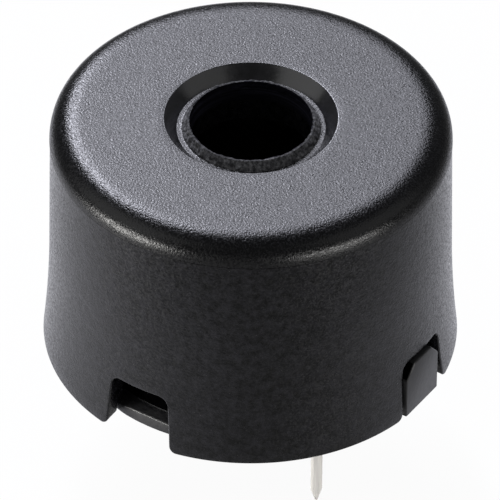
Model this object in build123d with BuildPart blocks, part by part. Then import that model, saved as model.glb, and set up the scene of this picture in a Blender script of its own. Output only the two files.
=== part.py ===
from build123d import *

import math
import os

os.makedirs("parts", exist_ok=True)

# Pin-type piezo buzzer, in millimetres. The board is the plane z = 0, the top faces +Z,
# the axis of the case is Z and the two pins stand on X.

# Case, outside
rim_radius = 8.5
case_height = 11.0
waist_height = 4.8
waist_flare = 0.33
shoulder_flare = 0.44
round_width = 1.31
round_drop = 1.02
round_top_ease = 0.7
round_side_ease = 0.8
lip_step = 0.02

# Sound port in the top: a conical recess, a flat ring, and a raised collar round the hole
port_radius = 2.47
collar_edge = 0.09
collar_batter = 0.17
collar_drop = 0.155
recess_ring = 0.255
recess_bevel = 0.465
recess_depth = 0.53
neck_length = 1.9
neck_wall = 0.9

# Case, inside: chamber over the sounder, the ledge that it sits on, and the skirt
top_wall = 1.1
side_wall = 1.31
chamber_fillet = 0.6
ledge_height = 5.7
ledge_width = 0.6
skirt_draft = 0.05
seat_width = 0.35

# Notches in the rim, two open and two filled by the tabs of the base, narrower towards the top
notch_count = 4
notch_width = 3.04
notch_height = 2.63
notch_draft = 4.5
notch_corner = 0.45
notch_flare = 0.33

# Base: a shallow cup with a flange, two tabs and two posts that hold the terminals
base_recess = 0.1
flange_thickness = 0.45
flange_clearance = 0.17
floor_thickness = 1.0
flat_inset = 0.12
ring_clearance = 0.5
ring_wall = 0.6
ring_top_gap = 0.6
tab_angle = 22.5
tab_clearance = 0.165
tab_touch_gap = 0.02
tab_top_gap = 0.08
tab_chamfer_width = 0.55
tab_chamfer_height = 0.65
post_length = 1.4
post_width = 1.7
rib_count = 8
rib_width = 0.8
rib_clearance = 0.02
rib_top_drop = 0.4

# Sounder: metal plate, ceramic disc under it, silver layer under that, and the bead that bonds it
plate_clearance = 0.1
plate_thickness = 0.1
piezo_margin = 2.25
piezo_thickness = 0.12
electrode_margin = 0.5
electrode_thickness = 0.02
bead_width = 0.55
bead_height = 0.5
bead_bulge_share = 0.25

# Terminals: one strip each, a pin below the base and a sprung arm above it
pin_inset = 1.85
pin_length = 6.0
pin_width = 0.45
strip_thickness = 0.2
pin_taper = 0.68
pin_tip_width = 0.05
slot_clearance = 0.03
riser_height = 0.78
arm_width = 1.0
arm_slope = 26.0
leaf_slope = 12.0
leaf_reach = 2.8
root_bend = 0.45
leaf_bend = 0.25
contact_bend = 0.5
contact_tail = 0.45
electrode_contact_radius = 1.4

# One overrun serves every cut
overrun = 1.0

# Heights and radii that follow from the sizes above
waist_radius = rim_radius - waist_flare
shoulder_radius = rim_radius - shoulder_flare
shoulder_height = case_height - round_drop
round_foot_radius = shoulder_radius + lip_step
flat_radius = round_foot_radius - round_width
collar_top_radius = port_radius + collar_edge
collar_foot_radius = collar_top_radius + collar_batter
recess_floor_radius = collar_foot_radius + recess_ring
recess_radius = recess_floor_radius + recess_bevel
recess_floor_height = case_height - recess_depth
collar_top_height = case_height - collar_drop
neck_foot_height = collar_top_height - neck_length
neck_radius = port_radius + neck_wall
ceiling_height = case_height - top_wall
chamber_radius = shoulder_radius - side_wall
bore_top_radius = chamber_radius + ledge_width
bore_foot_radius = bore_top_radius + skirt_draft
seat_radius = bore_foot_radius + seat_width
notch_lean = math.tan(math.radians(notch_draft))
notch_top_width = notch_width - 2 * notch_lean * notch_height

flange_top = base_recess + flange_thickness
flange_radius = seat_radius - flange_clearance
floor_top = base_recess + floor_thickness
ring_radius = bore_top_radius - ring_clearance
plate_foot = ledge_height - plate_thickness
ring_top = plate_foot - bead_height - ring_top_gap

# The base is turned in its play until each tab nearly touches one side of its notch
tab_width = notch_top_width - 2 * tab_clearance
tab_face = math.sqrt(rim_radius**2 - (tab_width / 2) ** 2)
tab_top = notch_height - tab_top_gap
tab_shoulder = tab_top - tab_chamfer_height
tab_play = notch_width / 2 - notch_lean * tab_shoulder - tab_width / 2 - tab_touch_gap
case_turn = tab_angle + math.degrees(math.asin(tab_play / tab_face))

plate_radius = bore_top_radius - plate_clearance
bead_inner_radius = plate_radius - bead_width
piezo_radius = plate_radius - piezo_margin
piezo_foot = plate_foot - piezo_thickness
electrode_foot = piezo_foot - electrode_thickness
plate_contact_radius = (piezo_radius + bead_inner_radius) / 2

# Spring arms, whose crests touch the plate and the silver face, and the posts below them
pin_place = ring_radius - pin_inset
arm_rise = math.tan(math.radians(arm_slope))
leaf_rise = math.tan(math.radians(leaf_slope))
crest_rise = contact_bend * (1 / math.cos(math.radians(arm_slope)) - 1) - strip_thickness / 2
plate_crest = plate_foot + crest_rise
electrode_crest = electrode_foot + crest_rise
leaf_place = pin_place - leaf_reach
leaf_height = plate_crest - (plate_contact_radius - leaf_place) * arm_rise
plate_root_height = leaf_height - leaf_reach * leaf_rise
electrode_root_height = electrode_crest - (pin_place - electrode_contact_radius) * arm_rise
post_top = plate_root_height - riser_height


def radial_plane(angle, distance):
    """A plane that faces outwards at an angle round the axis, with its Y up the case."""
    return Plane.YZ.rotated((0, 0, angle)).offset(distance)


def terminal(place, arm_points, arm_bends):
    """A strip in the plane of the pins: a pointed pin below its post and a bent arm above it."""
    with BuildPart() as strip:
        with BuildSketch(Plane.YZ.offset(place)):
            with BuildLine():
                Polyline(
                    (pin_width / 2, post_top),
                    (pin_width / 2, pin_taper - pin_length),
                    (pin_tip_width / 2, -pin_length),
                    (-pin_tip_width / 2, -pin_length),
                    (-pin_width / 2, pin_taper - pin_length),
                    (-pin_width / 2, post_top),
                    close=True,
                )
            make_face()
        extrude(amount=strip_thickness / 2, both=True)
        with BuildSketch(Plane.XZ):
            with BuildLine():
                Polyline(
                    (place + strip_thickness / 2, post_top),
                    (place + strip_thickness / 2, pin_taper - pin_length),
                    (place + pin_tip_width / 2, -pin_length),
                    (place - pin_tip_width / 2, -pin_length),
                    (place - strip_thickness / 2, pin_taper - pin_length),
                    (place - strip_thickness / 2, post_top),
                    close=True,
                )
            make_face()
        extrude(amount=pin_width, both=True, mode=Mode.INTERSECT)
        with BuildSketch(Plane.XZ):
            with BuildLine():
                FilletPolyline((place, post_top), *arm_points, radius=arm_bends)
            trace(line_width=strip_thickness)
        extrude(amount=arm_width / 2, both=True)
    return strip.part


# Case: one moulding, turned about its axis, straight above the waist and flared below it, with an
# eased round at the top edge and four notches cut in the rim
with BuildPart() as case:
    with BuildSketch(Plane.XZ):
        with BuildLine():
            wall = Line((shoulder_radius, shoulder_height), (waist_radius, waist_height))
            TangentArc((waist_radius, waist_height), (rim_radius, 0), tangent=wall % 1)
            Line((shoulder_radius, shoulder_height), (round_foot_radius, shoulder_height))
            Bezier(
                (round_foot_radius, shoulder_height),
                (round_foot_radius, shoulder_height + round_side_ease),
                (flat_radius + round_top_ease, case_height),
                (flat_radius, case_height),
            )
            Polyline(
                (flat_radius, case_height),
                (recess_radius, case_height),
                (recess_floor_radius, recess_floor_height),
                (collar_foot_radius, recess_floor_height),
                (collar_top_radius, collar_top_height),
                (port_radius, collar_top_height),
                (port_radius, neck_foot_height),
                (neck_radius, neck_foot_height),
                (neck_radius, ceiling_height),
                (chamber_radius, ceiling_height),
                (chamber_radius, ledge_height),
                (bore_top_radius, ledge_height),
                (bore_foot_radius, flange_top),
                (seat_radius, flange_top),
                (seat_radius, 0),
                (rim_radius, 0),
            )
        make_face()
    revolve(axis=Axis.Z)
    ceiling_edges = case.edges().filter_by(lambda edge: math.isclose(edge.center().Z, ceiling_height))
    fillet(ceiling_edges.sort_by(SortBy.RADIUS)[-1], chamber_fillet)
    for notch in range(notch_count):
        with BuildSketch(radial_plane(case_turn + notch * 360 / notch_count, chamber_radius)) as opening:
            with BuildLine():
                Polyline(
                    (notch_width / 2 + notch_lean * overrun, -overrun),
                    (notch_top_width / 2, notch_height),
                    (-notch_top_width / 2, notch_height),
                    (-notch_width / 2 - notch_lean * overrun, -overrun),
                    close=True,
                )
            make_face()
            fillet(opening.vertices().group_by(Axis.Y)[-1], notch_corner)
        extrude(amount=rim_radius + overrun - chamber_radius, mode=Mode.SUBTRACT)
    mouth_edges = case.edges().filter_by(GeomType.LINE).group_by(Axis.Z)[0]
    fillet(mouth_edges, notch_flare)
case.part.label = "case"
export_step(case.part, "parts/case.step")

# Base: a cup whose flange seats in the rim, flattened behind the open notches, with tabs in the
# other two and a slotted post for each pin
with BuildPart() as base_plate:
    with BuildSketch(Plane.XZ):
        with BuildLine():
            Polyline(
                (0, base_recess),
                (flange_radius, base_recess),
                (flange_radius, flange_top),
                (ring_radius, flange_top),
                (ring_radius, ring_top),
                (ring_radius - ring_wall, ring_top),
                (ring_radius - ring_wall, floor_top),
                (0, floor_top),
                close=True,
            )
        make_face()
    revolve(axis=Axis.Z)
    for turn in (case_turn + 90, case_turn + 270):
        with BuildSketch(Plane.XZ.rotated((0, 0, turn))):
            with BuildLine():
                Polyline(
                    (flange_radius, base_recess),
                    (flange_radius, flange_top),
                    (flange_radius - flat_inset, flange_top),
                    close=True,
                )
            make_face()
        extrude(amount=notch_width / 2, both=True, mode=Mode.SUBTRACT)
    for turn in (tab_angle, tab_angle + 180):
        with BuildSketch(radial_plane(turn, ring_radius - ring_wall / 2)):
            with BuildLine():
                Polyline(
                    (tab_width / 2, 0),
                    (tab_width / 2, tab_shoulder),
                    (tab_width / 2 - tab_chamfer_width, tab_top),
                    (tab_chamfer_width - tab_width / 2, tab_top),
                    (-tab_width / 2, tab_shoulder),
                    (-tab_width / 2, 0),
                    close=True,
                )
            make_face()
        extrude(amount=tab_face - ring_radius + ring_wall / 2)
    with BuildSketch(Plane.XY.offset(flange_top)):
        rib_turn = case_turn + 180 / rib_count
        with PolarLocations(ring_radius - ring_wall / 2, rib_count, start_angle=rib_turn):
            Rectangle(
                bore_top_radius - rib_clearance - ring_radius + ring_wall / 2,
                rib_width,
                align=(Align.MIN, Align.CENTER),
            )
    extrude(amount=ring_top - rib_top_drop - flange_top)
    with BuildSketch(Plane.XY.offset(floor_top)):
        with Locations((pin_place, 0), (-pin_place, 0)):
            Rectangle(post_length, post_width)
    extrude(amount=post_top - floor_top)
    with BuildSketch(Plane.XY.offset(base_recess)):
        with Locations((pin_place, 0), (-pin_place, 0)):
            Rectangle(strip_thickness + 2 * slot_clearance, pin_width + 2 * slot_clearance)
    extrude(amount=post_top - base_recess, mode=Mode.SUBTRACT)
base_plate.part.label = "base_plate"
export_step(base_plate.part, "parts/base_plate.step")

# Sounder: the metal plate lies against the ledge, with the ceramic and its silver face below
with BuildPart() as vibration_plate:
    with BuildSketch(Plane.XY.offset(plate_foot)):
        Circle(plate_radius)
    extrude(amount=plate_thickness)
vibration_plate.part.label = "vibration_plate"
export_step(vibration_plate.part, "parts/vibration_plate.step")

with BuildPart() as piezo_disc:
    with BuildSketch(Plane.XY.offset(piezo_foot)):
        Circle(piezo_radius)
    extrude(amount=piezo_thickness)
piezo_disc.part.label = "piezo_disc"
export_step(piezo_disc.part, "parts/piezo_disc.step")

with BuildPart() as silver_electrode:
    with BuildSketch(Plane.XY.offset(electrode_foot)):
        Circle(piezo_radius - electrode_margin)
    extrude(amount=electrode_thickness)
silver_electrode.part.label = "silver_electrode"
export_step(silver_electrode.part, "parts/silver_electrode.step")

# Bead of silicone that fills the gap round the plate and lies in the corner under it
with BuildPart() as bond_ring:
    with BuildSketch(Plane.XZ):
        with BuildLine():
            bore_slope = skirt_draft / (ledge_height - flange_top)
            bead_foot_radius = bore_top_radius + bore_slope * (plate_thickness + bead_height)
            Line((plate_radius, ledge_height), (bore_top_radius, ledge_height))
            Line((bore_top_radius, ledge_height), (bead_foot_radius, plate_foot - bead_height))
            SagittaArc(
                (bead_foot_radius, plate_foot - bead_height),
                (bead_inner_radius, plate_foot),
                bead_bulge_share * bead_height,
            )
            Line((bead_inner_radius, plate_foot), (plate_radius, plate_foot))
            Line((plate_radius, plate_foot), (plate_radius, ledge_height))
        make_face()
    revolve(axis=Axis.Z)
bond_ring.part.label = "bond_ring"
export_step(bond_ring.part, "parts/bond_ring.step")

# Terminals: each stands on its post and presses up, one on the plate and one on the silver face
plate_terminal = terminal(
    pin_place,
    [
        (pin_place, plate_root_height),
        (leaf_place, leaf_height),
        (plate_contact_radius, plate_crest),
        (plate_contact_radius + contact_tail, plate_crest - contact_tail * arm_rise),
    ],
    [root_bend, leaf_bend, contact_bend],
)
plate_terminal.label = "plate_terminal"
export_step(plate_terminal, "parts/plate_terminal.step")

electrode_terminal = terminal(
    -pin_place,
    [
        (-pin_place, electrode_root_height),
        (-electrode_contact_radius, electrode_crest),
        (contact_tail - electrode_contact_radius, electrode_crest - contact_tail * arm_rise),
    ],
    [root_bend, contact_bend],
)
electrode_terminal.label = "electrode_terminal"
export_step(electrode_terminal, "parts/electrode_terminal.step")
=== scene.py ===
import math

import bmesh
import bpy
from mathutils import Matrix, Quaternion, Vector


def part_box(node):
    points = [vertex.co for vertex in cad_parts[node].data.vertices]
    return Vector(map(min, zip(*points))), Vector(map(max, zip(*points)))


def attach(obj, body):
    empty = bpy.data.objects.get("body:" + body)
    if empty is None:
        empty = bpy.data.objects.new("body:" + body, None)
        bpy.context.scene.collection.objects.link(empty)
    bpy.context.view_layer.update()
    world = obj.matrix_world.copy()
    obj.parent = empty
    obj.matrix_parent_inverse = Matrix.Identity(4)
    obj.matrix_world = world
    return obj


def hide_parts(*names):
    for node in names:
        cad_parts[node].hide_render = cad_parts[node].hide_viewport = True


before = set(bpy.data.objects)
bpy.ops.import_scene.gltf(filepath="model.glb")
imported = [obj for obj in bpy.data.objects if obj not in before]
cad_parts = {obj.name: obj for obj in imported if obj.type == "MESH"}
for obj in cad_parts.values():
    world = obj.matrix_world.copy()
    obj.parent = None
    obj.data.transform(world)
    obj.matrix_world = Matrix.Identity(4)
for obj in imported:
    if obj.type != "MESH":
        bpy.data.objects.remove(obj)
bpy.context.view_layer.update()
print("frame loaded:", ", ".join(sorted(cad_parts)))

scene = bpy.context.scene
scene.view_settings.view_transform = "Standard"

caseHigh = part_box("case")[1]
rimRadius = caseHigh.x
caseHeight = caseHigh.z
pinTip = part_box("plate_terminal")[0].z


# small helpers for objects and node trees
def addObject(name, data):
    item = bpy.data.objects.new(name, data)
    scene.collection.objects.link(item)
    return item


def addNode(tree, kind, **values):
    node = tree.nodes.new(kind)
    for name, value in values.items():
        setattr(node, name, value)
    return node


def link(tree, source, target):
    tree.links.new(source, target)


def bareMaterial(name):
    material = bpy.data.materials.new(name)
    material.use_nodes = True
    tree = material.node_tree
    tree.nodes.clear()
    output = addNode(tree, "ShaderNodeOutputMaterial")
    coords = addNode(tree, "ShaderNodeTexCoord")
    return material, tree, output.inputs["Surface"], coords.outputs["Object"]


def newMaterial(name):
    material, tree, surface, coords = bareMaterial(name)
    shader = addNode(tree, "ShaderNodeBsdfPrincipled")
    link(tree, shader.outputs["BSDF"], surface)
    return material, tree, shader, coords


def stretched(tree, coords, scale):
    mapping = addNode(tree, "ShaderNodeMapping")
    mapping.inputs["Scale"].default_value = scale
    link(tree, coords, mapping.inputs["Vector"])
    return mapping.outputs["Vector"]


evenCrumble = 0.55      # how much of a noise is fine detail, where a finish doesn't say
evenSpecular = 0.5


def noise(tree, coords, scale, detail, crumble=evenCrumble):
    node = addNode(tree, "ShaderNodeTexNoise")
    node.inputs["Scale"].default_value = scale
    node.inputs["Detail"].default_value = detail
    node.inputs["Roughness"].default_value = crumble
    link(tree, coords, node.inputs["Vector"])
    return node.outputs["Fac"]


def craters(tree, coords, scale):
    node = addNode(tree, "ShaderNodeTexVoronoi")
    node.inputs["Scale"].default_value = scale
    link(tree, coords, node.inputs["Vector"])
    return node.outputs["Distance"]


def ramp(tree, factor, shades):
    node = addNode(tree, "ShaderNodeValToRGB")
    elements = node.color_ramp.elements
    while len(elements) < len(shades):
        elements.new(0.5)
    for element, (place, colour) in zip(elements, shades):
        element.position = place
        element.color = (*colour, 1.0)
    link(tree, factor, node.inputs["Fac"])
    return node.outputs["Color"]


def spread(tree, factor, low, high, span=(0.0, 1.0)):
    node = addNode(tree, "ShaderNodeMapRange")
    node.inputs["From Min"].default_value, node.inputs["From Max"].default_value = span
    node.inputs["To Min"].default_value = low
    node.inputs["To Max"].default_value = high
    link(tree, factor, node.inputs["Value"])
    return node.outputs["Result"]


def maths(tree, operation, first, second):
    # the second value is another node's output or a plain number
    node = addNode(tree, "ShaderNodeMath", operation=operation)
    link(tree, first, node.inputs[0])
    if isinstance(second, float):
        node.inputs[1].default_value = second
    else:
        link(tree, second, node.inputs[1])
    return node.outputs["Value"]


def bump(tree, height, distance, under=None):
    node = addNode(tree, "ShaderNodeBump")
    node.inputs["Strength"].default_value = 1.0
    node.inputs["Distance"].default_value = distance
    link(tree, height, node.inputs["Height"])
    if under is not None:
        link(tree, under, node.inputs["Normal"])
    return node.outputs["Normal"]


def speckled(name, look):
    # a finish whose colour, roughness and relief all follow one noise
    material, tree, shader, coords = newMaterial(name)
    crumble = look.get("crumble", evenCrumble)
    specks = noise(tree, stretched(tree, coords, look["scale"]), 1.0, look["detail"], crumble)
    link(tree, ramp(tree, specks, look["shades"]), shader.inputs["Base Color"])
    link(tree, spread(tree, specks, *look["roughness"]), shader.inputs["Roughness"])
    shader.inputs["Specular IOR Level"].default_value = look.get("specular", evenSpecular)
    shader.inputs["Metallic"].default_value = look.get("metal", 0.0)
    link(tree, bump(tree, specks, look["depth"]), shader.inputs["Normal"])
    return material


# case: the body is a profile turned round the axis, and the skirt below it carries the notches
case = {
    "segments": 720,
    "notchCount": 4,
    "notchTurn": math.radians(23.877),
    "skirtTop": 0.0036,
    "waistHeight": 0.0048,
    "waistFlare": 0.00033,
    "shoulderFlare": 0.00044,
    "roundWidth": 0.00131,      # the eased round between the top and the wall
    "roundDrop": 0.00102,
    "roundTopEase": 0.0007,
    "roundSideEase": 0.0008,
    "lipStep": 0.00002,
    "partingDepth": 0.000025,   # fine line where the two halves of the mould met
    "portRadius": 0.00247,
    "collarEdge": 0.00009,
    "collarBatter": 0.00017,
    "collarDrop": 0.000155,
    "collarFillet": 0.00005,
    "recessRing": 0.000255,
    "recessBevel": 0.000465,
    "recessDepth": 0.00053,
    "neckLength": 0.0019,
    "neckWall": 0.0009,
    "topWall": 0.0011,
    "sideWall": 0.00131,
    "chamberFillet": 0.0006,
    "ledgeHeight": 0.0057,
    "ledgeWidth": 0.0006,
    "skirtDraft": 0.00005,
    "seatWidth": 0.00035,
    "seatHeight": 0.00055,
    "notchWidth": 0.00304,
    "notchHeight": 0.00263,
    "notchDraft": math.radians(4.5),
    "notchCorner": 0.00045,
    "notchFlare": 0.00033,
    "edgeRound": 0.00007,       # worn round of the notch and rim edges
    "softEdge": 0.00005,        # round of the edge of the recess
    "weld": 0.000002,           # how near points of body and skirt are made one
    "tornDepth": 0.00017,       # from the lowest to the highest of the collar's broken skin
    "tornScale": 4000.0,
    "tornDetail": 2.0,
    "tornSeed": 7.0,
    "ringSkin": 0.000005,       # how high the recess floor's finish reaches
    "rimSkin": 0.00001125,      # how far inside the rim's edges its finish ends
    "rimUpright": 0.6,          # least upward share of a normal on the collar's rim
}

shoulderRadius = rimRadius - case["shoulderFlare"]
waistRadius = rimRadius - case["waistFlare"]
shoulderHeight = caseHeight - case["roundDrop"]
roundFootRadius = shoulderRadius + case["lipStep"]
flatRadius = roundFootRadius - case["roundWidth"]
portRadius = case["portRadius"]
collarTopRadius = portRadius + case["collarEdge"]
collarFootRadius = collarTopRadius + case["collarBatter"]
recessFloorRadius = collarFootRadius + case["recessRing"]
recessRadius = recessFloorRadius + case["recessBevel"]
recessFloor = caseHeight - case["recessDepth"]
collarTop = caseHeight - case["collarDrop"]
neckFoot = collarTop - case["neckLength"]
neckRadius = portRadius + case["neckWall"]
ceiling = caseHeight - case["topWall"]
chamberRadius = shoulderRadius - case["sideWall"]
boreTopRadius = chamberRadius + case["ledgeWidth"]
boreFootRadius = boreTopRadius + case["skirtDraft"]
seatRadius = boreFootRadius + case["seatWidth"]

# plastics of the case
grain = {
    "shades": [(0.3, (0.002, 0.002, 0.0023)), (0.7, (0.0045, 0.0046, 0.0052))],
    "craterScale": 13000.0,     # spark-eroded craters under a tenth of a millimetre across
    "craterDepth": 0.000006,
    "pitScale": 12000.0,
    "pitDetail": 2.0,
    "pitCrumble": 0.6,
    "pitDepth": 0.000012,
    "pitSpan": (0.34, 0.64),    # the part of the noise that the roughness follows
    "roughness": (0.1, 0.36),
    "waveScale": 900.0,         # soft unevenness of the moulding
    "waveDetail": 3.0,
    "waveDepth": 0.000005,
    "footRoughness": 0.14,      # added at the foot of the round, where the mould is less polished
    "footHeight": 0.0007,
    "specular": 0.3,
}


def grainPlastic():
    material, tree, shader, coords = newMaterial("caseGrain")
    pits = noise(tree, coords, grain["pitScale"], grain["pitDetail"], grain["pitCrumble"])
    link(tree, ramp(tree, pits, grain["shades"]), shader.inputs["Base Color"])
    split = addNode(tree, "ShaderNodeSeparateXYZ")
    link(tree, coords, split.inputs["Vector"])
    foot = spread(tree, split.outputs["Z"], grain["footRoughness"], 0.0,
                  span=(shoulderHeight, shoulderHeight + grain["footHeight"]))
    fine = spread(tree, pits, *grain["roughness"], span=grain["pitSpan"])
    link(tree, maths(tree, "ADD", fine, foot), shader.inputs["Roughness"])
    shader.inputs["Specular IOR Level"].default_value = grain["specular"]
    waves = noise(tree, coords, grain["waveScale"], grain["waveDetail"])
    wavy = bump(tree, waves, grain["waveDepth"])
    dents = craters(tree, coords, grain["craterScale"])
    cratered = bump(tree, dents, grain["craterDepth"], under=wavy)
    link(tree, bump(tree, pits, grain["pitDepth"], under=cratered), shader.inputs["Normal"])
    return material


satin = {
    "shades": [(0.38, (0.0005, 0.0005, 0.0006)), (0.64, (0.0085, 0.0084, 0.0102))],
    "cloudScale": 3000.0,       # cloudy patches of the moulded side
    "cloudDetail": 5.0,
    "cloudCrumble": 0.65,
    "cloudDepth": 0.000014,
    "fineScale": 9500.0,
    "fineDetail": 2.0,
    "fineCrumble": 0.6,
    "fineSpan": (0.34, 0.64),
    "craterScale": 8000.0,
    "craterDepth": 0.000005,
    "roughness": (0.12, 0.4),
    "specular": 0.38,
}


def satinPlastic():
    material, tree, shader, coords = newMaterial("caseSatin")
    clouds = noise(tree, coords, satin["cloudScale"], satin["cloudDetail"], satin["cloudCrumble"])
    link(tree, ramp(tree, clouds, satin["shades"]), shader.inputs["Base Color"])
    fine = noise(tree, coords, satin["fineScale"], satin["fineDetail"], satin["fineCrumble"])
    patchy = spread(tree, fine, *satin["roughness"], span=satin["fineSpan"])
    link(tree, patchy, shader.inputs["Roughness"])
    shader.inputs["Specular IOR Level"].default_value = satin["specular"]
    cloudy = bump(tree, clouds, satin["cloudDepth"])
    dents = craters(tree, coords, satin["craterScale"])
    link(tree, bump(tree, dents, satin["craterDepth"], under=cloudy), shader.inputs["Normal"])
    return material


# polished slope of the recess
gloss = {
    "shades": [(0.35, (0.005, 0.005, 0.006)), (0.65, (0.013, 0.013, 0.0155))],
    "scale": (2400.0, 2400.0, 2400.0),
    "detail": 2.0,
    "depth": 0.000006,
    "roughness": (0.16, 0.3),
    "specular": 0.75,
}

# broken skin of the collar, pale where it is torn most, and lifted further as painted light on the collar's
# shaded side
torn = {
    "shades": [(0.4, (0.04, 0.04, 0.043)), (0.6, (0.17, 0.17, 0.177)), (0.74, (0.34, 0.34, 0.35))],
    "scale": (7000.0, 7000.0, 5000.0),
    "detail": 4.0,
    "crumble": 0.65,
    "depth": 0.00004,
    "roughness": (0.6, 0.9),
    "specular": 0.2,
}
# darker copy for the collar's rim: painted shade that keeps the lamps behind from lighting its flecks into
# bright dots
tornRim = {
    **torn,
    "shades": [(0.4, (0.025, 0.025, 0.027)), (0.6, (0.11, 0.11, 0.116)), (0.74, (0.2, 0.2, 0.21))],
}

# wall of the port, with faint rings left by the mould's core; its colour is lifted and tinted blue as painted
# light for the faint cool light deep in the hole
port = {
    "shades": [(0.45, (0.003, 0.003, 0.006)), (0.7, (0.02, 0.0195, 0.03))],
    "scale": (300.0, 300.0, 9000.0),
    "detail": 2.0,
    "depth": 0.00001,
    "roughness": (0.6, 0.85),
    "specular": 0.1,
}


def flareCircle():
    # centre and radius of the circle that leaves the straight wall at the waist and ends at the rim
    runR, runZ = waistRadius - shoulderRadius, case["waistHeight"] - shoulderHeight
    length = math.hypot(runR, runZ)
    outR, outZ = -runZ / length, runR / length
    toRimR, toRimZ = rimRadius - waistRadius, -case["waistHeight"]
    radius = (toRimR ** 2 + toRimZ ** 2) / (2 * (toRimR * outR + toRimZ * outZ))
    return waistRadius + radius * outR, case["waistHeight"] + radius * outZ, radius


flareCentreR, flareCentreZ, flareRadius = flareCircle()


def wallRadius(z):
    if z > case["waistHeight"]:
        share = (z - case["waistHeight"]) / (shoulderHeight - case["waistHeight"])
        return waistRadius + share * (shoulderRadius - waistRadius)
    return flareCentreR - math.sqrt(flareRadius ** 2 - (z - flareCentreZ) ** 2)


def boreRadius(z):
    if z < case["seatHeight"]:
        return seatRadius
    share = (z - case["seatHeight"]) / (case["ledgeHeight"] - case["seatHeight"])
    return boreFootRadius + share * (boreTopRadius - boreFootRadius)


# how many steps each part of the profile has
profileSteps = {
    "wall": 16,
    "round": 20,
    "top": 10,
    "recessEdge": 4,
    "recessSlope": 4,
    "recessRing": 3,
    "collarFillet": 4,
    "collarSide": 8,
    "collarRim": 3,
    "port": 8,
    "neckBore": 8,
    "neckEnd": 2,
    "neckSide": 2,
    "ceiling": 4,
    "dome": 6,
    "chamber": 4,
    "ledge": 1,
    "bore": 4,
}


def goTo(points, end, part):
    # evenly spaced points on from the last one, with the end
    start, count = points[-1], profileSteps[part]
    for i in range(1, count):
        points.append(tuple(a + (b - a) * i / count for a, b in zip(start, end)))
    points.append(end)


def turnTo(points, centre, radius, first, last, part):
    # on round an arc that starts at the last point
    count = profileSteps[part]
    for i in range(1, count + 1):
        turn = first + (last - first) * i / count
        points.append((centre[0] + radius * math.cos(turn), centre[1] + radius * math.sin(turn)))


def easedRound(count):
    # points of the cubic curve from the foot of the round over to the flat top
    feet = (
        (roundFootRadius, shoulderHeight),
        (roundFootRadius, shoulderHeight + case["roundSideEase"]),
        (flatRadius + case["roundTopEase"], caseHeight),
        (flatRadius, caseHeight),
    )
    points = []
    for i in range(count + 1):
        t = i / count
        weights = ((1 - t) ** 3, 3 * t * (1 - t) ** 2, 3 * t ** 2 * (1 - t), t ** 3)
        points.append(tuple(sum(w * foot[axis] for w, foot in zip(weights, feet)) for axis in (0, 1)))
    return points


def caseProfile():
    # from the top of the skirt up the wall, over the top, down the port and back down the bore
    skirtTop, ledge, quarterTurn = case["skirtTop"], case["ledgeHeight"], math.pi / 2
    points = []
    for i in range(profileSteps["wall"]):
        z = skirtTop + (shoulderHeight - skirtTop) * i / profileSteps["wall"]
        points.append((wallRadius(z), z))
    parting = case["partingDepth"]
    partingFoot = shoulderHeight - 2 * parting
    points.append((wallRadius(partingFoot), partingFoot))
    points.append((shoulderRadius - parting, shoulderHeight - parting))
    points += easedRound(profileSteps["round"])

    soft = case["softEdge"]
    slope = math.atan2(case["recessDepth"], case["recessBevel"])
    goTo(points, (recessRadius + soft, caseHeight), "top")
    turnTo(points, (recessRadius + soft, caseHeight - soft), soft, quarterTurn, math.pi - slope, "recessEdge")
    goTo(points, (recessFloorRadius, recessFloor), "recessSlope")
    fillet = case["collarFillet"]
    lean = math.atan2(case["collarBatter"], collarTop - recessFloor)
    filletRadius = collarFootRadius + fillet * math.tan((quarterTurn + lean) / 2)
    goTo(points, (filletRadius, recessFloor), "recessRing")
    filletCentre = (filletRadius, recessFloor + fillet)
    turnTo(points, filletCentre, fillet, -quarterTurn, -math.pi - lean, "collarFillet")
    goTo(points, (collarTopRadius, collarTop), "collarSide")
    goTo(points, (portRadius, collarTop), "collarRim")
    goTo(points, (portRadius, recessFloor), "port")
    goTo(points, (portRadius, neckFoot), "neckBore")
    goTo(points, (neckRadius, neckFoot), "neckEnd")
    goTo(points, (neckRadius, ceiling), "neckSide")

    dome = case["chamberFillet"]
    goTo(points, (chamberRadius - dome, ceiling), "ceiling")
    turnTo(points, (chamberRadius - dome, ceiling - dome), dome, quarterTurn, 0.0, "dome")
    goTo(points, (chamberRadius, ledge), "chamber")
    goTo(points, (boreTopRadius, ledge), "ledge")
    goTo(points, (boreRadius(skirtTop), skirtTop), "bore")
    return points


# how many steps each part of half a notch has
notchSteps = {"top": 6, "corner": 8, "side": 10, "mouth": 7}


def notchOutline():
    # half of a notch from the middle of its top to its mouth: (across, up, normal into the wall)
    lean, quarterTurn = case["notchDraft"], math.pi / 2
    corner, mouth, height = case["notchCorner"], case["notchFlare"], case["notchHeight"]
    half = case["notchWidth"] / 2
    ease = math.tan((quarterTurn - lean) / 2)
    cornerAcross = half - math.tan(lean) * height - corner * ease
    mouthAcross = half + mouth * ease
    line = [(cornerAcross * i / notchSteps["top"], height, 0.0, 1.0) for i in range(notchSteps["top"])]
    for i in range(notchSteps["corner"] + 1):
        turn = quarterTurn - (quarterTurn - lean) * i / notchSteps["corner"]
        outX, outZ = math.cos(turn), math.sin(turn)
        line.append((cornerAcross + corner * outX, height - corner + corner * outZ, outX, outZ))
    outX, outZ = math.cos(lean), math.sin(lean)
    startAcross, startUp = line[-1][:2]
    footAcross, footUp = mouthAcross - mouth * outX, mouth - mouth * outZ
    for i in range(1, notchSteps["side"]):
        share = i / notchSteps["side"]
        across = startAcross + (footAcross - startAcross) * share
        line.append((across, startUp + (footUp - startUp) * share, outX, outZ))
    for i in range(notchSteps["mouth"] + 1):
        turn = lean + (quarterTurn - lean) * i / notchSteps["mouth"]
        outX, outZ = math.cos(turn), math.sin(turn)
        line.append((mouthAcross - mouth * outX, mouth - mouth * outZ, outX, outZ))
    return line


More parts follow.
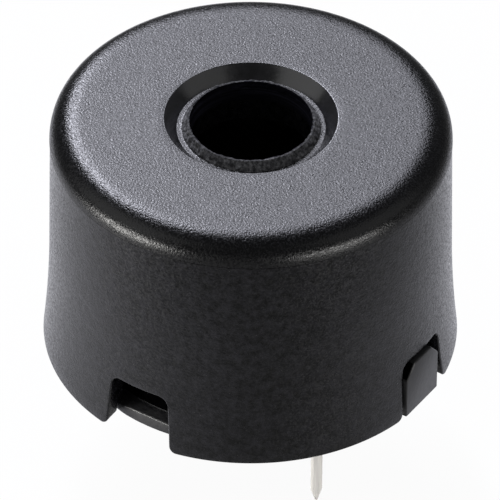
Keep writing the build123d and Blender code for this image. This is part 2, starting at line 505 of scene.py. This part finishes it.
skirtSteps = {
    "settle": 6,                    # columns between a notch's mouth and the even spacing of the rim
    "wall": 7,
    "round": 4,
    "through": (0.35, 0.7, 1.0),    # shares of the way through the wall
    "bore": (0.5, 1.0),             # shares of the way up the bore
}


def skirtColumns():
    # one for each segment: turn of its notch, side of it, angle at the top, and the outline at its foot
    outline = notchOutline()
    last, settle = len(outline) - 1, skirtSteps["settle"]
    step = 2 * math.pi / case["segments"]
    mouthAngle = math.asin(outline[last][0] / rimRadius)
    settledAngle = (last + settle) * step
    perNotch = case["segments"] // case["notchCount"]
    columns = []
    for notch in range(case["notchCount"]):
        centre = case["notchTurn"] + notch * 2 * math.pi / case["notchCount"]
        for k in range(-(perNotch // 2), perNotch - perNotch // 2):
            index = abs(k)
            if index <= last:
                foot = outline[index]
            else:
                angle = index * step
                if index < last + settle:
                    angle = mouthAngle + (settledAngle - mouthAngle) * ((index - last) / settle)
                foot = (rimRadius * math.sin(angle), 0.0, 0.0, 1.0)
            columns.append((centre, -1 if k < 0 else 1, index * step, *foot))
    return columns


def skirtMesh():
    edge, top = case["edgeRound"], case["skirtTop"]
    lines = []
    for centre, side, topAngle, across, up, normalAcross, normalUp in skirtColumns():

        def place(s, z, radius, depth=0.0):
            angle = centre + side * math.asin(min(1.0, s / radius))
            return (radius - depth) * math.cos(angle), (radius - depth) * math.sin(angle), z

        line = []
        # outer wall, from the top row down to the rounded edge
        topOut, topIn = wallRadius(top) * math.sin(topAngle), boreRadius(top) * math.sin(topAngle)
        footAcross, footUp = across + normalAcross * edge, up + normalUp * edge
        for i in range(skirtSteps["wall"]):
            share = i / skirtSteps["wall"]
            z = top + (footUp - top) * share
            line.append(place(topOut + (footAcross - topOut) * share, z, wallRadius(z)))
        for i in range(skirtSteps["round"] + 1):
            turn = math.pi / 2 * i / skirtSteps["round"]
            away, depth = edge * (1 - math.sin(turn)), edge * (1 - math.cos(turn))
            z = up + normalUp * away
            line.append(place(across + normalAcross * away, z, wallRadius(z), depth))
        # through the wall to the bore
        bore = boreRadius(up)
        outer = wallRadius(up) - edge
        for share in skirtSteps["through"]:
            line.append(place(across, up, outer + (bore - outer) * share))
        # up the bore to the top row
        seat = max(case["seatHeight"], up)
        seatAcross = across + (topIn - across) * ((seat - up) / (top - up))
        line.append(place(seatAcross, seat, bore))
        line.append(place(seatAcross, seat, boreRadius(seat)))
        for share in skirtSteps["bore"]:
            z = seat + (top - seat) * share
            line.append(place(seatAcross + (topIn - seatAcross) * share, z, boreRadius(z)))
        lines.append(line)
    count, rows = len(lines), len(lines[0])
    points = [line[row] for row in range(rows) for line in lines]
    faces = []
    for row in range(0, (rows - 1) * count, count):
        for c in range(count):
            n = (c + 1) % count
            faces.append((row + c, row + n, row + count + n, row + count + c))
    mesh = bpy.data.meshes.new("skirt")
    mesh.from_pydata(points, [], faces)
    return mesh


def compare(tree, operation, first, second):
    node = addNode(tree, "FunctionNodeCompare", data_type="FLOAT", operation=operation)
    link(tree, first, node.inputs["A"])
    link(tree, second, node.inputs["B"])
    return node.outputs["Result"]


# named inputs of the tree that makes the case
caseInputs = {
    "Geometry": "Geometry",
    "Skirt": "Object",
    "Segments": "Int",
    "Turning Radius": "Float",
    "Start Turn": "Vector",
    "Weld": "Float",
    "Torn Depth": "Float",
    "Torn Scale": "Float",
    "Torn Detail": "Float",
    "Torn Seed": "Float",
    "Torn Radius": "Float",
    "Torn Floor": "Float",
    "Material": "Material",
}


def turnedTree():
    # turns the profile round the axis, joins the skirt on and breaks up the skin of the collar
    tree = bpy.data.node_groups.new("turnedCase", "GeometryNodeTree")
    for label, kind in caseInputs.items():
        tree.interface.new_socket(label, in_out="INPUT", socket_type="NodeSocket" + kind)
    tree.interface.new_socket("Geometry", in_out="OUTPUT", socket_type="NodeSocketGeometry")
    sizes = addNode(tree, "NodeGroupInput").outputs
    out = addNode(tree, "NodeGroupOutput")

    profile = addNode(tree, "GeometryNodeMeshToCurve")
    link(tree, sizes["Geometry"], profile.inputs["Mesh"])
    ring = addNode(tree, "GeometryNodeCurvePrimitiveCircle")
    link(tree, sizes["Segments"], ring.inputs["Resolution"])
    link(tree, sizes["Turning Radius"], ring.inputs["Radius"])
    turned = addNode(tree, "GeometryNodeCurveToMesh")
    link(tree, ring.outputs["Curve"], turned.inputs["Curve"])
    link(tree, profile.outputs["Curve"], turned.inputs["Profile Curve"])
    started = addNode(tree, "GeometryNodeTransform")
    link(tree, turned.outputs["Mesh"], started.inputs["Geometry"])
    link(tree, sizes["Start Turn"], started.inputs["Rotation"])

    skirt = addNode(tree, "GeometryNodeObjectInfo")
    link(tree, sizes["Skirt"], skirt.inputs["Object"])
    joined = addNode(tree, "GeometryNodeJoinGeometry")
    link(tree, started.outputs["Geometry"], joined.inputs["Geometry"])
    link(tree, skirt.outputs["Geometry"], joined.inputs["Geometry"])
    welded = addNode(tree, "GeometryNodeMergeByDistance")
    link(tree, sizes["Weld"], welded.inputs["Distance"])
    link(tree, joined.outputs["Geometry"], welded.inputs["Geometry"])

    # the collar is the part of the top inside the torn radius and above the torn floor
    place = addNode(tree, "GeometryNodeInputPosition")
    split = addNode(tree, "ShaderNodeSeparateXYZ")
    link(tree, place.outputs["Position"], split.inputs["Vector"])
    flat = addNode(tree, "ShaderNodeCombineXYZ")
    link(tree, split.outputs["X"], flat.inputs["X"])
    link(tree, split.outputs["Y"], flat.inputs["Y"])
    reach = addNode(tree, "ShaderNodeVectorMath", operation="LENGTH")
    link(tree, flat.outputs["Vector"], reach.inputs[0])
    collar = addNode(tree, "FunctionNodeBooleanMath", operation="AND")
    link(tree, compare(tree, "LESS_THAN", reach.outputs["Value"], sizes["Torn Radius"]), collar.inputs[0])
    link(tree, compare(tree, "GREATER_THAN", split.outputs["Z"], sizes["Torn Floor"]), collar.inputs[1])

    flakes = addNode(tree, "ShaderNodeTexNoise", noise_dimensions="4D")
    link(tree, place.outputs["Position"], flakes.inputs["Vector"])
    link(tree, sizes["Torn Seed"], flakes.inputs["W"])
    link(tree, sizes["Torn Scale"], flakes.inputs["Scale"])
    link(tree, sizes["Torn Detail"], flakes.inputs["Detail"])
    centred = maths(tree, "SUBTRACT", flakes.outputs["Fac"], 0.5)
    normal = addNode(tree, "GeometryNodeInputNormal")
    push = addNode(tree, "ShaderNodeVectorMath", operation="SCALE")
    link(tree, normal.outputs["Normal"], push.inputs[0])
    link(tree, maths(tree, "MULTIPLY", centred, sizes["Torn Depth"]), push.inputs["Scale"])
    moved = addNode(tree, "GeometryNodeSetPosition")
    link(tree, welded.outputs["Geometry"], moved.inputs["Geometry"])
    link(tree, collar.outputs["Boolean"], moved.inputs["Selection"])
    link(tree, push.outputs["Vector"], moved.inputs["Offset"])

    real = addNode(tree, "GeometryNodeRealizeInstances")
    link(tree, moved.outputs["Geometry"], real.inputs["Geometry"])
    painted = addNode(tree, "GeometryNodeSetMaterial")
    link(tree, real.outputs["Geometry"], painted.inputs["Geometry"])
    link(tree, sizes["Material"], painted.inputs["Material"])
    link(tree, painted.outputs["Geometry"], out.inputs["Geometry"])
    return tree


def runTree(holder, tree, values):
    # evaluates a tree on the holder and returns the result as a plain mesh
    modifier = holder.modifiers.new(tree.name, "NODES")
    modifier.node_group = tree
    for item in tree.interface.items_tree:
        if item.in_out == "INPUT" and item.name in values:
            modifier[item.identifier] = values[item.name]
    holder.update_tag()
    bpy.context.view_layer.update()
    graph = bpy.context.evaluated_depsgraph_get()
    mesh = bpy.data.meshes.new_from_object(holder.evaluated_get(graph))
    holder.modifiers.remove(modifier)
    return mesh


def dress(mesh, finishes):
    # gives the mesh its finishes, and returns the index of each
    mesh.materials.clear()
    for finish in finishes.values():
        mesh.materials.append(finish)
    return {name: index for index, name in enumerate(finishes)}


smoothing = {"sharpAngle": math.radians(28.0)}


def closeShell(mesh):
    # normals outwards, and smooth shading that breaks at sharp edges
    shell = bmesh.new()
    shell.from_mesh(mesh)
    bmesh.ops.recalc_face_normals(shell, faces=shell.faces)
    for face in shell.faces:
        face.smooth = True
    for edge in shell.edges:
        edge.smooth = not (edge.is_manifold and edge.calc_face_angle(0.0) > smoothing["sharpAngle"])
    loose = sum(1 for edge in shell.edges if not edge.is_manifold)
    shell.to_mesh(mesh)
    shell.free()
    return loose


def caseFinish(r, z, upright):
    # the finish of the place at this radius and height
    if z < shoulderHeight or r < neckRadius and z < neckFoot:
        return "satin"
    if r > recessRadius + case["softEdge"] or z < ceiling and r > neckRadius:
        return "grain"
    if collarFootRadius < r < recessFloorRadius and z < recessFloor + case["ringSkin"]:
        return "grain"
    if r > recessFloorRadius:
        return "gloss"
    if r > collarTopRadius - case["rimSkin"]:
        return "torn"
    if r > portRadius + case["rimSkin"] and upright > case["rimUpright"]:
        return "rim"
    return "port"


def makeCase():
    profileMesh = bpy.data.meshes.new("caseProfile")
    profile = caseProfile()
    profileMesh.from_pydata(
        [(r - rimRadius, -z, 0.0) for r, z in profile],
        [(i, i + 1) for i in range(len(profile) - 1)],
        [],
    )
    holder = addObject("caseProfile", profileMesh)
    skirt = addObject("skirt", skirtMesh())
    finishes = {
        "grain": grainPlastic(),
        "satin": satinPlastic(),
        "gloss": speckled("recessGloss", gloss),
        "torn": speckled("collarTorn", torn),
        "rim": speckled("collarRim", tornRim),
        "port": speckled("portDull", port),
    }
    mesh = runTree(holder, turnedTree(), {
        "Skirt": skirt,
        "Segments": case["segments"],
        "Turning Radius": rimRadius,
        "Start Turn": (0.0, 0.0, case["notchTurn"]),
        "Weld": case["weld"],
        "Torn Depth": case["tornDepth"],
        "Torn Scale": case["tornScale"],
        "Torn Detail": case["tornDetail"],
        "Torn Seed": case["tornSeed"],
        "Torn Radius": recessFloorRadius,
        "Torn Floor": recessFloor + case["collarFillet"] / 2,
        "Material": finishes["grain"],
    })
    bpy.data.objects.remove(holder)
    bpy.data.objects.remove(skirt)
    loose = closeShell(mesh)
    index = dress(mesh, finishes)
    for face in mesh.polygons:
        face.material_index = index[caseFinish(face.center.xy.length, face.center.z, face.normal.z)]
    piece = addObject("buzzerCase", mesh)
    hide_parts("case")
    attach(piece, "root")
    print("case:", len(mesh.polygons), "faces,", loose, "open edges")


# base and terminals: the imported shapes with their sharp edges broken
edgeBreak = {
    "merge": 0.0000005,                     # how near points are made one
    "flatAngle": math.radians(0.5),         # faces that differ by less are one flat face
    "sharpAngle": math.radians(35.0),       # edges sharper than this are rounded
    "thinFace": 2.0,                        # in widths of the round: edges of thinner faces stay sharp
    "segments": 3,
}


def brokenEdges(node, name, width, finishes):
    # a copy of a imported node, merged, with its flat faces made whole and its edges rounded
    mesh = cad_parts[node].data.copy()
    mesh.name = name
    solid = bmesh.new()
    solid.from_mesh(mesh)
    bmesh.ops.remove_doubles(solid, verts=solid.verts, dist=edgeBreak["merge"])
    bmesh.ops.dissolve_limit(solid, angle_limit=edgeBreak["flatAngle"], verts=solid.verts, edges=solid.edges)
    weights = solid.edges.layers.float.new("bevel_weight_edge")
    for edge in solid.edges:
        if edge.is_manifold and edge.calc_face_angle() > edgeBreak["sharpAngle"]:
            thinnest = min(face.calc_area() / max(side.calc_length() for side in face.edges)
                           for face in edge.link_faces)
            edge[weights] = 1.0 if thinnest > edgeBreak["thinFace"] * width else 0.0
    solid.to_mesh(mesh)
    solid.free()
    dress(mesh, finishes)
    piece = addObject(name, mesh)
    bevel = piece.modifiers.new("edges", "BEVEL")
    bevel.width = width
    bevel.segments = edgeBreak["segments"]
    bevel.limit_method = "WEIGHT"
    bevel.use_clamp_overlap = False
    graph = bpy.context.evaluated_depsgraph_get()
    rounded = bpy.data.meshes.new_from_object(piece.evaluated_get(graph))
    piece.modifiers.clear()
    piece.data = rounded
    closeShell(rounded)
    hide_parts(node)
    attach(piece, "root")
    print(name, len(rounded.polygons), "faces")
    return rounded


base = {
    "edge": 0.00007,
    "paintedShadeFrom": 0.00005,        # how far above the flange the painted shade inside the case starts
    "paintedLightUpright": 0.9,        # least upward share of a normal on the flange's upper face, which gets the painted light
}
baseSatin = {
    "shades": [(0.3, (0.003, 0.003, 0.0034)), (0.7, (0.009, 0.009, 0.0102))],
    "scale": (5200.0, 5200.0, 5200.0),
    "detail": 3.0,
    "depth": 0.000008,
    "roughness": (0.32, 0.48),
    "specular": 0.52,
}

# the base inside the case, painted near-black and without reflection: painted shade where the case shades it
basePaintedShade = {
    "shades": [(0.3, (0.0003, 0.0003, 0.0004)), (0.7, (0.0012, 0.0012, 0.0013))],
    "scale": (4200.0, 4200.0, 4200.0),
    "detail": 4.0,
    "depth": 0.00003,
    "roughness": (0.75, 0.95),
    "specular": 0.0,
}

# the flange's upper face, a lighter copy of the base's finish: painted light for the light it catches
basePaintedLight = {
    "shades": [(0.3, (0.016, 0.016, 0.0175)), (0.7, (0.055, 0.055, 0.059))],
    "scale": (5200.0, 5200.0, 5200.0),
    "detail": 4.0,
    "depth": 0.00001,
    "roughness": (0.5, 0.7),
    "specular": 0.3,
}


def makeBase():
    finishes = {
        "satin": speckled("baseSatin", baseSatin),
        "paintedShade": speckled("basePaintedShade", basePaintedShade),
        "paintedLight": speckled("basePaintedLight", basePaintedLight),
    }
    mesh = brokenEdges("base_plate", "buzzerBase", base["edge"], finishes)
    index = dress(mesh, finishes)
    for face in mesh.polygons:
        r, rise = face.center.xy.length, face.center.z - case["seatHeight"]
        # painted shade on the base inside the case
        if rise > base["paintedShadeFrom"] and r < boreTopRadius:
            face.material_index = index["paintedShade"]
        # painted light on the flange's upper face
        elif abs(rise) < base["paintedShadeFrom"] and face.normal.z > base["paintedLightUpright"]:
            face.material_index = index["paintedLight"]


# matt tin, drawn along the pin
tin = {
    "shades": [(0.3, (0.745, 0.726, 0.693)), (0.7, (0.915, 0.893, 0.85))],
    "scale": (9000.0, 9000.0, 500.0),
    "detail": 3.0,
    "depth": 0.000002,
    "roughness": (0.5, 0.7),
    "metal": 0.5,
    "edge": 0.00002,
}


def makeTerminals():
    finishes = {"tin": speckled("tinPlate", tin)}
    brokenEdges("plate_terminal", "plateTerminal", tin["edge"], finishes)
    brokenEdges("electrode_terminal", "electrodeTerminal", tin["edge"], finishes)


# sounder inside the case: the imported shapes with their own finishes
nickel = {
    "shades": [(0.3, (0.4, 0.39, 0.365)), (0.7, (0.62, 0.6, 0.56))],
    "scale": (300.0, 9000.0, 300.0),        # rolled along one way
    "detail": 3.0,
    "depth": 0.000001,
    "roughness": (0.28, 0.42),
    "metal": 1.0,
}
ceramic = {
    "shades": [(0.3, (0.62, 0.56, 0.43)), (0.7, (0.76, 0.7, 0.56))],
    "scale": (4200.0, 4200.0, 4200.0),
    "detail": 3.0,
    "depth": 0.000002,
    "roughness": (0.6, 0.75),
}
silver = {
    "shades": [(0.3, (0.74, 0.73, 0.7)), (0.7, (0.9, 0.89, 0.86))],
    "scale": (3000.0, 3000.0, 3000.0),
    "detail": 3.0,
    "depth": 0.000002,
    "roughness": (0.4, 0.6),
    "metal": 1.0,
}
silicone = {
    "shades": [(0.3, (0.62, 0.62, 0.61)), (0.7, (0.74, 0.74, 0.73))],
    "scale": (700.0, 700.0, 700.0),
    "detail": 3.0,
    "depth": 0.000008,
    "roughness": (0.3, 0.45),
}


def finishSounder():
    for node, name, look in (
        ("vibration_plate", "rolledNickel", nickel),
        ("piezo_disc", "sinteredCeramic", ceramic),
        ("silver_electrode", "firedSilver", silver),
        ("bond_ring", "curedSilicone", silicone),
    ):
        dress(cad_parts[node].data, {name: speckled(name, look)})
    print("sounder finished")


# stage: pale floor at the tip of the pins with painted light and shade on it, soft boxes, an evenly dim room
# and the camera
stage = {
    "floorSize": 3.0,
    "paleSheet": (0.96, 0.96, 0.975),
    "paintedShadeTable": (0.07, 0.07, 0.07),
    "sheetTurn": math.radians(-166.0),      # the sheet, a painted pool of light, lies more behind the object, to the left
    "sheetShift": 0.022,
    "sheetEdge": (0.0285, 0.0475),          # where the sheet gives way to the painted shade of the dark table, from its middle
    "floorGlow": 0.95,                      # share of the floor's white that doesn't depend on the lamps
    "mirrorGlow": 0.17,                     # the same share where a glossy surface shows the floor
    "lookAt": (-0.000013, -0.00002, 0.004013),
    "azimuth": math.radians(56.7),
    "elevation": math.radians(40.63),
    "distance": 0.255,
    "lens": 451.4,
    "sensor": 36.0,
    "clip": (0.01, 10.0),
    "roll": 0.004,
}


def towards(azimuth, elevation):
    return Vector((
        math.sin(azimuth) * math.cos(elevation),
        -math.cos(azimuth) * math.cos(elevation),
        math.sin(elevation),
    ))


def makeFloor():
    half = stage["floorSize"] / 2
    corners = [(x * half, y * half, pinTip) for x, y in ((-1, -1), (1, -1), (1, 1), (-1, 1))]
    mesh = bpy.data.meshes.new("floor")
    mesh.from_pydata(corners, [], [(0, 1, 2, 3)])
    floor = addObject("floor", mesh)
    material, tree, surface, coords = bareMaterial("paleFloor")
    # the pale sheet behind the object to the left is painted light and the dark table round it painted shade,
    # seen mostly in glossy surfaces
    middle = towards(stage["azimuth"] + stage["sheetTurn"], 0.0) * stage["sheetShift"]
    reach = addNode(tree, "ShaderNodeVectorMath", operation="DISTANCE")
    link(tree, coords, reach.inputs[0])
    reach.inputs[1].default_value = (middle.x, middle.y, pinTip)
    far = spread(tree, reach.outputs["Value"], 0.0, 1.0, span=stage["sheetEdge"])
    matt = addNode(tree, "ShaderNodeBsdfDiffuse")
    link(tree, ramp(tree, far, [(0.0, stage["paleSheet"]), (1.0, stage["paintedShadeTable"])]), matt.inputs["Color"])
    glow = addNode(tree, "ShaderNodeEmission")
    path = addNode(tree, "ShaderNodeLightPath").outputs
    mirrored = maths(tree, "MAXIMUM", path["Is Glossy Ray"], path["Is Transmission Ray"])
    dimmed = maths(tree, "MULTIPLY", mirrored, stage["mirrorGlow"])
    seen = maths(tree, "MULTIPLY", path["Is Camera Ray"], stage["floorGlow"])
    mix = addNode(tree, "ShaderNodeMixShader")
    link(tree, maths(tree, "MAXIMUM", seen, dimmed), mix.inputs["Fac"])
    link(tree, matt.outputs["BSDF"], mix.inputs[1])
    link(tree, glow.outputs["Emission"], mix.inputs[2])
    link(tree, mix.outputs["Shader"], surface)
    mesh.materials.append(material)


# soft boxes: angles round from the camera and up, distance, width and length, brightness and tint;
# the two cards lean back until they lie flat over the floor
softBoxes = {
    "window": {"turn": -164.0, "height": 43.5, "away": 0.8, "size": (0.115, 0.45), "glow": 33.0,
               "tint": (0.88, 0.89, 1.0)},
    "back": {"turn": 177.2, "height": 40.0, "away": 0.8, "size": (0.15, 0.34), "glow": 7.8,
             "tint": (0.88, 0.89, 1.0)},
    "left": {"turn": -63.0, "height": -1.0, "away": 0.09, "size": (0.056, 0.017), "glow": 27.0,
             "tint": (1.0, 0.985, 0.96)},
    "leftCard": {"turn": -63.0, "height": -7.3, "away": 0.075, "size": (0.05, 0.036), "glow": 9.0,
                 "tint": (1.0, 0.985, 0.96), "lean": 82.7},
    "leftHigh": {"turn": -78.0, "height": 38.0, "away": 0.12, "size": (0.11, 0.1), "glow": 0.85,
                 "tint": (1.0, 1.0, 1.0)},
    "right": {"turn": 44.0, "height": -1.0, "away": 0.09, "size": (0.06, 0.017), "glow": 13.0,
              "tint": (1.0, 0.985, 0.97)},
    "rightCard": {"turn": 44.0, "height": -7.3, "away": 0.075, "size": (0.05, 0.036), "glow": 4.0,
                  "tint": (1.0, 0.985, 0.97), "lean": 82.7},
    "rightHigh": {"turn": 72.0, "height": 38.0, "away": 0.12, "size": (0.11, 0.1), "glow": 0.45,
                  "tint": (1.0, 1.0, 1.0)},
}


def makeLights():
    for name, box in softBoxes.items():
        lamp = bpy.data.lights.new(name, "AREA")
        lamp.shape = "RECTANGLE"
        lamp.size, lamp.size_y = box["size"]
        lamp.energy = box["glow"] * math.pi * box["size"][0] * box["size"][1]
        lamp.color = box["tint"]
        holder = addObject(name, lamp)
        back = towards(stage["azimuth"] + math.radians(box["turn"]), math.radians(box["height"]))
        holder.location = Vector(stage["lookAt"]) + back * box["away"]
        holder.rotation_mode = "QUATERNION"
        lean = Quaternion((1.0, 0.0, 0.0), math.radians(box.get("lean", 0.0)))
        holder.rotation_quaternion = back.to_track_quat("Z", "Y") @ lean


room = {"colour": (0.98, 0.99, 1.0, 1.0), "strength": 0.1}


def makeRoom():
    world = bpy.data.worlds.new("room")
    scene.world = world
    world.use_nodes = True
    tree = world.node_tree
    tree.nodes.clear()
    output = addNode(tree, "ShaderNodeOutputWorld")
    light = addNode(tree, "ShaderNodeBackground")
    light.inputs["Color"].default_value = room["colour"]
    light.inputs["Strength"].default_value = room["strength"]
    link(tree, light.outputs["Background"], output.inputs["Surface"])


def makeCamera():
    data = bpy.data.cameras.new("camera")
    data.lens = stage["lens"]
    data.sensor_width = stage["sensor"]
    data.clip_start, data.clip_end = stage["clip"]
    camera = addObject("camera", data)
    back = towards(stage["azimuth"], stage["elevation"])
    camera.location = Vector(stage["lookAt"]) + back * stage["distance"]
    camera.rotation_mode = "QUATERNION"
    roll = Quaternion((0.0, 0.0, 1.0), stage["roll"])
    camera.rotation_quaternion = (-back).to_track_quat("-Z", "Y") @ roll
    scene.camera = camera


makeCase()
makeBase()
makeTerminals()
finishSounder()
makeFloor()
makeLights()
makeRoom()
makeCamera()
print("stage set")
